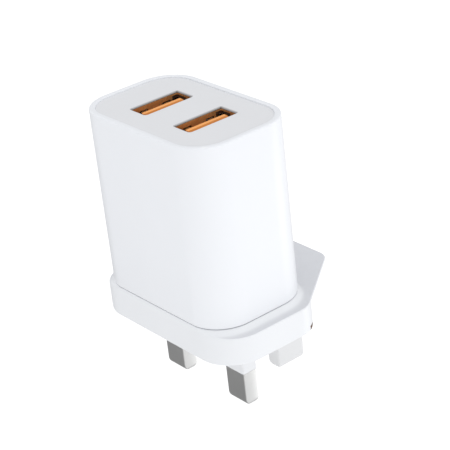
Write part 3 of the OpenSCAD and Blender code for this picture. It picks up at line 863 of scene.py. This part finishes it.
def blade(w, d, reach, corner, top):
    """A pin's body down to its end, which is round across its thickness and soft across its
    width."""
    z = top - 0.5
    bm = slab(w, d, 0.4, z, top, segments=5)
    face = cap(bm, top=False)
    size = Vector((w, d))
    r = d / 2
    angles = (0, 8, 16, 24, 32, 40, 48, 56, 63, 70, 76, 81, 85, 88)
    heights = {-reach + r * (1 - math.sin(math.radians(a))) for a in angles}
    for height in sorted(heights | {-reach + corner}, reverse=True):
        up = max(-height - reach + r, 0.0)
        side = max(-height - reach + corner, 0.0)
        a = w - 2 * (corner - math.sqrt(max(corner ** 2 - side ** 2, 0.0)))
        b = 2 * math.sqrt(max(r * r - up ** 2, 0.0))
        face = step_in(bm, face, rise=height - z, stretch=(a / size.x, b / size.y))
        size, z = Vector((a, b)), height
    return bm


def mains_pin(side, name):
    """A nickel-plated blade with the thin neck in its sleeve, its head and its solder stub."""
    p = sizes("charger_pins")
    w, d, neck = p["width"], p["thickness"], 1.04
    bm = blade(w, d, p["reach"], 1.2, -p["sleeve"])
    face = cap(bm)
    for inset in (0.06, neck / 2 - 0.06):
        face = step_in(bm, face, inset=inset)
    face = step_in(bm, face, rise=p["sleeve"] + BASE_FLOOR + 0.01)
    face = step_in(bm, face, stretch=((w + 2) / (w - neck), (d + 2) / (d - neck)))
    face = step_in(bm, face, rise=1.18)
    face = step_in(bm, face, stretch=(4 / (w + 2), 1.5 / (d + 2)))
    step_in(bm, face, rise=2.6)
    place = (side * p["spacing"] / 2, -p["spacing"] / 2, 0)
    bmesh.ops.translate(bm, vec=place, verts=bm.verts)
    return settle(bm, f"{name}_blade", "pin nickel", f"{name}_pin", sharp=50.0)


def pin_sleeve(side, name):
    """The plastic sleeve round the upper half of a blade."""
    p = sizes("charger_pins")
    x, y = side * p["spacing"] / 2, -p["spacing"] / 2
    bm = slab(p["width"], p["thickness"], 0.4, -p["sleeve"], BASE_FLOOR, x=x, y=y, segments=5)
    top, bottom = cap(bm), cap(bm, top=False)
    foot = list(bottom.edges)
    bridge_ends(bm, step_in(bm, top, inset=0.5), step_in(bm, bottom, inset=0.5))
    soften(bm, foot, 0.1, 2)
    return settle(bm, f"{name}_sleeve", "sleeve plastic", f"{name}_pin_sleeve")


def earth_pin():
    """The long plastic earth pin, turned a quarter from the others."""
    p = sizes("charger_pins")
    bm = blade(p["earth_width"], p["thickness"], p["earth_reach"], 1.6, 5.0)
    quarter = Matrix.Rotation(math.pi / 2, 3, "Z")
    bmesh.ops.rotate(bm, cent=(0, 0, 0), matrix=quarter, verts=bm.verts)
    bmesh.ops.translate(bm, vec=(0, p["spacing"] / 2, 0), verts=bm.verts)
    return settle(bm, "earth_blade", "earth pin plastic", "earth_pin", sharp=50.0)


# ---------------------------------------------------------------- ports

def port_shell(side, n):
    """A port's folded metal shell with four spring fingers, a corner window and two solder
    legs."""
    p = sizes("charger_ports")
    sheet = p["sheet"]
    w, d = p["width"] + 2 * sheet, p["length"] + 2 * sheet
    finger_y, finger, slot = 3.1, 0.75, 1.15
    root, tip, gap = PORT_MOUTH - 8, PORT_MOUTH - 1.3, PORT_MOUTH - 1
    window_y, window_x = p["length"] / 2 - 1.45, 0.45
    window_low, window_high = PORT_MOUTH - 4.4, PORT_MOUTH - 0.4
    bm = slab(w, d, 0.7, PORT_FOOT, PORT_MOUTH, segments=6)
    drop(bm, cap(bm), cap(bm, top=False))
    for z in (root, root + 2, root + 3.6, root + 5.2, tip, gap, window_low, window_high):
        cut(bm, 2, z)
    for y in (-finger_y, finger_y):
        for off in (-slot, -finger, finger, slot):
            cut(bm, 1, y + off)
    cut(bm, 1, window_y)
    for x in (-0.8, window_x, 0.8):
        cut(bm, 0, x)

    def on_wide_side(place):
        return abs(place.x) > w / 2 - 0.1

    def open_here(place):
        """Whether the metal is cut away here, round a finger or in the window."""
        off = abs(abs(place.y) - finger_y)
        if on_wide_side(place) and off < slot and root < place.z < gap:
            if off >= finger or place.z >= tip:
                return True
        return place.y > window_y and place.x < window_x and window_low < place.z < window_high

    drop(bm, *[f for f in bm.faces if open_here(f.calc_center_median())])
    drop_wires(bm)
    for vert in bm.verts:
        at = vert.co
        in_finger = abs(abs(at.y) - finger_y) < finger + 0.01 and root < at.z < tip + 0.01
        if on_wide_side(at) and in_finger:
            lean = ((at.z - root) / (tip - root)) ** 1.5
            hook = 0.3 if at.z > tip - 0.01 else 0.0
            at.x -= math.copysign(p["bend"] * (lean - hook), at.x)
    for end in (-1, 1):
        leg = [e for e in open_edges(bm, PORT_FOOT, 1e-3)
               if all(abs(v.co.y - end * d / 2) < 1e-3 and abs(v.co.x) < 0.81 for v in e.verts)]
        made = bmesh.ops.extrude_edge_only(bm, edges=leg)["geom"]
        feet = [g for g in made if isinstance(g, bmesh.types.BMVert)]
        bmesh.ops.translate(bm, vec=(0, 0, -2.2), verts=feet)
    # The faces have to point outwards before the sheet gets its thickness.
    bmesh.ops.recalc_face_normals(bm, faces=bm.faces)
    if sum(f.normal.xy.dot(f.calc_center_median().xy) for f in bm.faces) < 0:
        bmesh.ops.reverse_faces(bm, faces=bm.faces)
    bmesh.ops.solidify(bm, geom=list(bm.faces), thickness=sheet)
    bmesh.ops.recalc_face_normals(bm, faces=bm.faces)
    bmesh.ops.translate(bm, vec=(side * p["pitch"] / 2, BODY_Y, 0), verts=bm.verts)
    return settle(
        bm, f"port_sheet_{n}", "port bronze", f"usb_shell_{n}",
        outwards=False)


def port_tongue(side, n):
    """The plastic block at the back of a port with the tongue that stands on it, whose top slopes
    down on one half."""
    p = sizes("charger_ports")
    block_top, tongue_top = PORT_FOOT + 5, 49.2
    bm = slab(p["width"] - 0.02, p["length"] - 0.02, 0.4, PORT_FOOT, block_top, segments=4)
    left, thick, front, back = p["width"] / 2 - 2.5, 1.84, -5.6, 4.9
    slope = left + 1.0
    for axis, place in ((0, left), (0, left + thick), (1, front), (1, back)):
        cut(bm, axis, place, [f for f in bm.faces if f.normal.z > 0.99])
    middle = Vector((left + thick / 2, (front + back) / 2, block_top))
    top = min((f for f in bm.faces if f.normal.z > 0.99),
              key=lambda f: (f.calc_center_median() - middle).length)
    top = step_in(bm, top, rise=tongue_top - block_top)
    rim = set(top.edges)
    soften(bm, [e for v in top.verts for e in v.link_edges if e not in rim], 0.25, 3)
    soften(bm, cap(bm).edges, 0.15, 3)
    cut(bm, 0, slope)
    for vert in bm.verts:
        if vert.co.z > 48.9 and vert.co.x > slope + 0.01:
            vert.co.z -= (vert.co.x - slope) * 0.2
    x = side * p["pitch"] / 2
    bmesh.ops.translate(bm, vec=(x, BODY_Y, 0), verts=bm.verts)
    tongue = settle(
        bm, f"port_tongue_{n}", "tongue orange", f"usb_insulator_{n}")
    # The tongue's level top takes the brighter orange, a painted highlight of light from above.
    tongue.data.materials.append(finish("tongue top highlight"))
    for face in tongue.data.polygons:
        if face.center.z / MM > 49.05 and face.center.x / MM < x + slope:
            face.material_index = 1
    return tongue


# ---------------------------------------------------------------- inside

# The pieces inside: CAD node, finish, and the radius of its edges in millimetres.
CONTACTS = (
    ("live_contact", "contact_gold", 0.05), ("neutral_contact", "contact_gold", 0.05),
    ("pin_clamp", "clamp_black", 0.15), ("usb_contacts_1", "contact_gold", 0.04),
    ("usb_contacts_2", "contact_gold", 0.04),
)
BOARDS = (
    ("main_board", "board_green", 0.08), ("port_board", "board_green", 0.08),
    ("link_pins", "tin", 0.05),
)
TRANSFORMER = (
    ("core_upper", "ferrite", 0.25), ("core_lower", "ferrite", 0.25),
    ("bobbin", "clamp_black", 0.08), ("primary_winding", "copper", 0.2),
    ("secondary_winding", "copper", 0.2), ("tape_wrap", "yellow_tape", 0.04),
    ("transformer_pins", "tin", 0.06),
)
CANS = (
    ("input_capacitor_1", "sleeve_blue", 0.35), ("input_capacitor_2", "sleeve_blue", 0.35),
    ("output_capacitor_1", "can_aluminium", 0.3), ("output_capacitor_2", "can_aluminium", 0.3),
    ("safety_capacitor", "disc_blue", 0.4), ("surge_varistor", "disc_blue", 0.4),
    ("fuse_resistor", "resistor_green", 0.3), ("inductor_core", "ferrite", 0.15),
    ("inductor_winding", "copper", 0.15),
)
CHIPS = (
    ("optocoupler", "chip_black", 0.12), ("bridge_rectifier", "chip_black", 0.12),
    ("controller_chip", "chip_black", 0.08), ("rectifier_chip", "chip_black", 0.08),
    ("port_chip_1", "chip_black", 0.08), ("port_chip_2", "chip_black", 0.08),
    ("surface_parts", "smd_tan", 0.05), ("heat_spreader", "aluminium_sheet", 0.1),
    ("thermal_pad", "pad_grey", 0.08), ("barrier_sheet", "sheet_cream", 0.05),
)


def rounded_node(node, radius):
    """A clean copy of a CAD node's shape, in millimetres, with its sharp edges rounded."""
    bm = bmesh.new()
    bm.from_mesh(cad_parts[node].data)
    bmesh.ops.scale(bm, vec=(1 / MM, 1 / MM, 1 / MM), verts=bm.verts)
    bmesh.ops.remove_doubles(bm, verts=bm.verts, dist=0.002)
    bmesh.ops.dissolve_limit(
        bm, angle_limit=math.radians(1.0), verts=bm.verts, edges=bm.edges,
        use_dissolve_boundaries=False)
    limit = math.radians(40.0)
    sharp = [e for e in bm.edges if e.is_manifold and e.calc_face_angle(0.0) > limit]
    soften(bm, sharp, radius, 2)
    return bm


def inner_pieces(table):
    """Makes pieces inside from their CAD shapes, their edges rounded as moulded ones are."""
    for node, slot, radius in table:
        bm = rounded_node(node, radius)
        settle(bm, f"{node}_piece", slot.replace("_", " "), node, outwards=False)
    return {"FINISHED"}


# ---------------------------------------------------------------- stage

def floor():
    """A wide pale floor just under the longest pin, which reflections don't see."""
    bm = bmesh.new()
    bmesh.ops.create_grid(bm, x_segments=2, y_segments=2, size=12.0)
    bmesh.ops.translate(bm, vec=(0, 0, -0.0228), verts=bm.verts)
    mesh = bpy.data.meshes.new("floor")
    bm.to_mesh(mesh)
    bm.free()
    plane = bpy.data.objects.new("floor", mesh)
    bpy.context.scene.collection.objects.link(plane)
    material = bpy.data.materials.new("pale floor")
    material.use_nodes = True
    shader = material.node_tree.nodes["Principled BSDF"].inputs
    shader["Base Color"].default_value = (0.25, 0.25, 0.25, 1.0)
    shader["Roughness"].default_value = 0.9
    shader["Specular IOR Level"].default_value = 0.0
    shader["Emission Color"].default_value = (1.0, 1.0, 1.0, 1.0)
    shader["Emission Strength"].default_value = 0.91
    mesh.materials.append(material)
    plane.visible_glossy = False


def camera():
    """A long lens that looks down on the near corner."""
    right = Vector((0.6369, 0.7642, -0.1019))
    down = Vector((0.28348, -0.35508, -0.89082))
    ahead = Vector((-0.71695, 0.53845, -0.44277))
    data = bpy.data.cameras.new("camera")
    data.lens, data.sensor_width, data.sensor_fit = 125.9, 36.0, "HORIZONTAL"
    data.clip_start, data.clip_end = 0.01, 20.0
    made = bpy.data.objects.new("camera", data)
    turn = Matrix((right, -down, -ahead)).transposed().to_4x4()
    made.matrix_world = Matrix.Translation(Vector((0.2518, -0.19185, 0.17498))) @ turn
    bpy.context.scene.collection.objects.link(made)
    bpy.context.scene.camera = made


def key_light():
    """A small softbox low on the right."""
    data = bpy.data.lights.new("key", "AREA")
    data.shape, data.size, data.size_y, data.energy = "RECTANGLE", 0.35, 0.25, 0.55
    lamp = bpy.data.objects.new("key", data)
    lamp.location = (0.72, -0.12, 0.16)
    aim = Vector((0.0, -0.01, 0.02)) - Vector((0.72, -0.12, 0.16))
    lamp.rotation_euler = aim.to_track_quat("-Z", "Y").to_euler()
    bpy.context.scene.collection.objects.link(lamp)


def studio():
    """A white room, brighter on the lit sides, with a dimmer lower half for reflections."""
    world = bpy.data.worlds.new("studio")
    bpy.context.scene.world = world
    world.use_nodes = True
    tree = world.node_tree
    place = add(tree, "TexCoord").outputs["Generated"]

    def glow(direction, low, high, start, end):
        """Light that grows from one strength to another towards a direction."""
        along = add(tree, "VectorMath", operation="DOT_PRODUCT", _Vector=place)
        along.inputs[1].default_value = Vector(direction).normalized()
        return spread(tree, along.outputs["Value"], low, high, start, end, shape="SMOOTHSTEP")

    # Soft light all round, and more from the left, from overhead and from low on the right.
    left = glow((-0.6, -0.6, 0.5), -0.2, 1.0, 0.45, 0.86)
    overhead = glow((0.0, 0.0, 1.0), 0.3, 1.0, 0.0, 0.40)
    right = glow((0.7, 0.7, 0.15), 0.3, 1.0, 0.0, 0.60)
    sky = maths(tree, "ADD", maths(tree, "ADD", left, overhead), right)
    # Below the horizon only reflections see the room: a slow change, and one bright streak.
    under = glow((0.8, 0.6, 0.0), -0.75, 0.75, 0.29, 0.9)
    streak = glow((0.436, 0.783, -0.443), 0.955, 1.0, 0.0, 1.6)
    below = glow((0.0, 0.0, -1.0), -0.02, 0.12, 0.0, 1.0)
    lower = maths(tree, "ADD", under, streak)
    mix = add(tree, "Mix", data_type="FLOAT", _Factor=below, _A=sky, _B=lower)
    back = tree.nodes["Background"].inputs
    put(tree, back["Strength"], mix.outputs["Result"])
    back["Color"].default_value = (0.985, 0.99, 1.0, 1.0)
    bpy.context.scene.view_settings.view_transform = "Standard"


# ---------------------------------------------------------------- operators

class CHARGER_OT_stage(bpy.types.Operator):
    """Set up the floor, the camera and the studio light"""
    bl_idname = "charger.stage"
    bl_label = "Stage"

    def execute(self, context):
        floor()
        camera()
        key_light()
        studio()
        return {"FINISHED"}


class CHARGER_OT_body(bpy.types.Operator):
    """Make the upper body's shell"""
    bl_idname = "charger.body"
    bl_label = "Body shell"

    def execute(self, context):
        housing_shell()
        return {"FINISHED"}


class CHARGER_OT_panel(bpy.types.Operator):
    """Make the sunk port panel with its two rolled slots"""
    bl_idname = "charger.panel"
    bl_label = "Port panel"

    def execute(self, context):
        panel_plate()
        return {"FINISHED"}


class CHARGER_OT_base(bpy.types.Operator):
    """Make the base with its wing, and the latch in its corner"""
    bl_idname = "charger.base"
    bl_label = "Base and latch"

    def execute(self, context):
        base_shell()
        latch()
        return {"FINISHED"}


class CHARGER_OT_pins(bpy.types.Operator):
    """Make the three mains pins and the two sleeves"""
    bl_idname = "charger.pins"
    bl_label = "Mains pins"

    def execute(self, context):
        for side, name in ((1, "live"), (-1, "neutral")):
            mains_pin(side, name)
            pin_sleeve(side, name)
        earth_pin()
        return {"FINISHED"}


class CHARGER_OT_ports(bpy.types.Operator):
    """Make both ports' metal shells and tongues"""
    bl_idname = "charger.ports"
    bl_label = "Ports"

    def execute(self, context):
        for side, n in ((-1, 1), (1, 2)):
            port_shell(side, n)
            port_tongue(side, n)
        return {"FINISHED"}


class CHARGER_OT_contacts(bpy.types.Operator):
    """Make the contact strips, the ports' contacts and the pin clamp"""
    bl_idname = "charger.contacts"
    bl_label = "Contacts and clamp"

    def execute(self, context):
        return inner_pieces(CONTACTS)


class CHARGER_OT_boards(bpy.types.Operator):
    """Make the two circuit boards and the posts that join them"""
    bl_idname = "charger.boards"
    bl_label = "Boards"

    def execute(self, context):
        return inner_pieces(BOARDS)


class CHARGER_OT_transformer(bpy.types.Operator):
    """Make the transformer's core, bobbin, windings, tape and pins"""
    bl_idname = "charger.transformer"
    bl_label = "Transformer"

    def execute(self, context):
        return inner_pieces(TRANSFORMER)


class CHARGER_OT_cans(bpy.types.Operator):
    """Make the capacitors, the varistor, the fuse resistor and the inductor"""
    bl_idname = "charger.cans"
    bl_label = "Capacitors and coils"

    def execute(self, context):
        return inner_pieces(CANS)


class CHARGER_OT_chips(bpy.types.Operator):
    """Make the chips, the small surface parts, the heat spreader, its pad and the barrier sheet"""
    bl_idname = "charger.chips"
    bl_label = "Chips and sheets"

    def execute(self, context):
        return inner_pieces(CHIPS)


OPERATORS = (
    CHARGER_OT_stage, CHARGER_OT_body, CHARGER_OT_panel, CHARGER_OT_base, CHARGER_OT_pins,
    CHARGER_OT_ports, CHARGER_OT_contacts, CHARGER_OT_boards, CHARGER_OT_transformer,
    CHARGER_OT_cans, CHARGER_OT_chips,
)


class CHARGER_PT_panel(bpy.types.Panel):
    """Lists the charger's pieces and their settings"""
    bl_idname = "CHARGER_PT_panel"
    bl_label = "USB wall charger"
    bl_space_type = "VIEW_3D"
    bl_region_type = "UI"
    bl_category = "Charger"

    def draw(self, context):
        for operator in OPERATORS:
            self.layout.operator(operator.bl_idname)
        for name in SETTINGS:
            column = self.layout.box().column()
            settings = getattr(context.scene, name)
            for key in type(settings).__annotations__:
                column.prop(settings, key)


def register():
    """Registers the settings, the operators and the panel."""
    for name, group_class in SETTINGS.items():
        bpy.utils.register_class(group_class)
        setattr(bpy.types.Scene, name, PointerProperty(type=group_class))
    for operator in OPERATORS:
        bpy.utils.register_class(operator)
    bpy.utils.register_class(CHARGER_PT_panel)


def unregister():
    """Takes back what register() did."""
    bpy.utils.unregister_class(CHARGER_PT_panel)
    for operator in reversed(OPERATORS):
        bpy.utils.unregister_class(operator)
    for name, group_class in SETTINGS.items():
        delattr(bpy.types.Scene, name)
        bpy.utils.unregister_class(group_class)


def main():
    """Makes the charger and its stage."""
    register()
    for make in (grain_group, wear_group, dust_group, strokes_group, turns_group):
        make()
    for operator in OPERATORS:
        family, name = operator.bl_idname.split(".")
        getattr(getattr(bpy.ops, family), name)()


if __name__ == "__main__":
    main()
